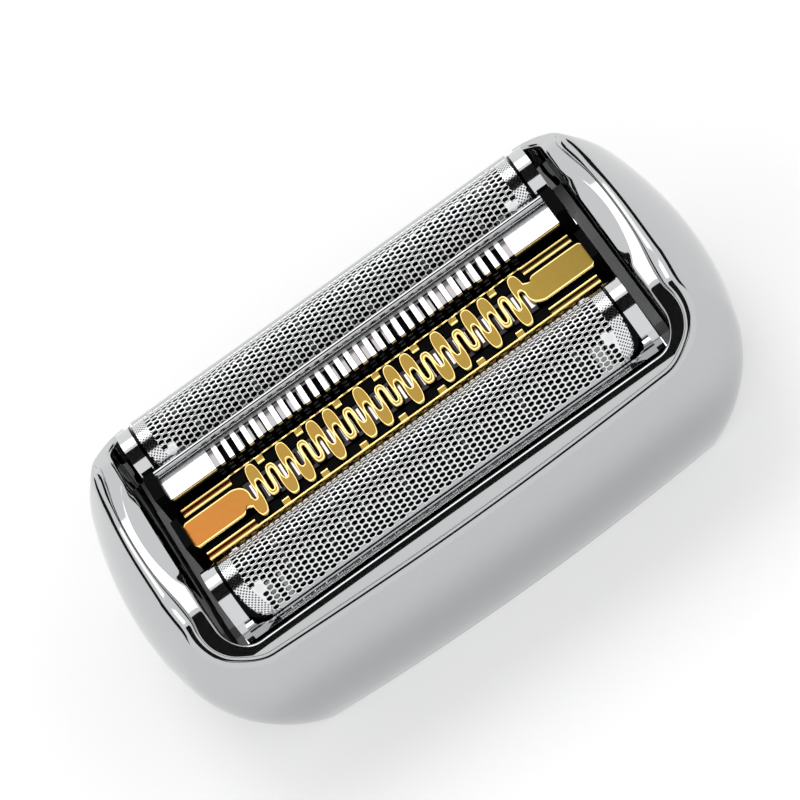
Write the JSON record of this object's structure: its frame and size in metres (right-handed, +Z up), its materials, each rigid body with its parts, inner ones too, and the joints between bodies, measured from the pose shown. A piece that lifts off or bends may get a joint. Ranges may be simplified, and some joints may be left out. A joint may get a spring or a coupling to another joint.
{
  "type": "foil shaver head",
  "caption": "Cutting head of a foil shaver: chrome frame with floating arched foils, a silver comb trimmer and a gold serpentine lift trimmer over sliding blades.",
  "frame": {"origin": "middle of the frame's bottom edge plane", "axes": "+X along the head, -Y is the front with the gold trimmer, +Z up towards the skin"},
  "size_m": [0.058, 0.033, 0.0194],
  "materials": {
    "chrome_plating": "bright chrome plating on moulded plastic",
    "nickel_foil": "electroformed nickel, bright",
    "polished_steel": "ground steel",
    "gold_coating": "gold coloured hard coating on steel",
    "black_plastic": "moulded, fine matt",
    "grey_plastic": "moulded, fine matt",
    "white_plastic": "moulded, fine matt",
    "spring_steel": "rolled strip"
  },
  "bodies": {
    "frame": {"outer_frame": "chrome_plating", "chassis": "black_plastic", "left_end_plate": "grey_plastic", "right_end_plate": "grey_plastic", "front_foil_springs": "spring_steel", "rear_foil_springs": "spring_steel", "comb_springs": "spring_steel", "lift_springs": "spring_steel"},
    "front_foil_unit": {"front_foil": "nickel_foil", "front_foil_pins": "nickel_foil", "front_foil_carrier": "chrome_plating"},
    "rear_foil_unit": {"rear_foil": "nickel_foil", "rear_foil_pins": "nickel_foil", "rear_foil_carrier": "chrome_plating"},
    "comb_unit": {"comb_sheet": "polished_steel", "comb_bar": "chrome_plating", "comb_holder": "black_plastic"},
    "lift_unit": {"lift_guard": "gold_coating", "lift_rails": "gold_coating", "lift_holder": "black_plastic"},
    "front_cutter": {"front_cutter_core": "white_plastic", "front_cutter_blades": "polished_steel"},
    "rear_cutter": {"rear_cutter_core": "white_plastic", "rear_cutter_blades": "polished_steel"},
    "comb_cutter": {"comb_blade": "polished_steel", "comb_slider": "white_plastic"},
    "lift_cutter": {"lift_blade": "polished_steel", "lift_slider": "white_plastic"}
  },
  "joints": [
    {"name": "front_foil_float", "type": "slide", "parent": "frame", "child": "front_foil_unit", "axis": [0, 0, -1], "range_m": [0, 0.002], "stiffness_N_per_m": 300, "springref_m": -0.002, "deforming": ["front_foil_springs"]},
    {"name": "rear_foil_float", "type": "slide", "parent": "frame", "child": "rear_foil_unit", "axis": [0, 0, -1], "range_m": [0, 0.002], "stiffness_N_per_m": 300, "springref_m": -0.002, "deforming": ["rear_foil_springs"]},
    {"name": "comb_float", "type": "slide", "parent": "frame", "child": "comb_unit", "axis": [0, 0, -1], "range_m": [0, 0.002], "stiffness_N_per_m": 300, "springref_m": -0.002, "deforming": ["comb_springs"]},
    {"name": "lift_float", "type": "slide", "parent": "frame", "child": "lift_unit", "axis": [0, 0, -1], "range_m": [0, 0.002], "stiffness_N_per_m": 300, "springref_m": -0.002, "deforming": ["lift_springs"]},
    {"name": "front_cutter_stroke", "type": "slide", "parent": "front_foil_unit", "child": "front_cutter", "axis": [1, 0, 0], "range_m": [-0.0012, 0.0012]},
    {"name": "rear_cutter_stroke", "type": "slide", "parent": "rear_foil_unit", "child": "rear_cutter", "axis": [1, 0, 0], "range_m": [-0.0012, 0.0012]},
    {"name": "comb_cutter_stroke", "type": "slide", "parent": "comb_unit", "child": "comb_cutter", "axis": [1, 0, 0], "range_m": [-0.0012, 0.0012]},
    {"name": "lift_cutter_stroke", "type": "slide", "parent": "lift_unit", "child": "lift_cutter", "axis": [1, 0, 0], "range_m": [-0.0012, 0.0012]}
  ],
  "couplings": [
    {"joint": "comb_cutter_stroke", "follows": "rear_cutter_stroke", "ratio": 1},
    {"joint": "lift_cutter_stroke", "follows": "front_cutter_stroke", "ratio": 1}
  ]
}
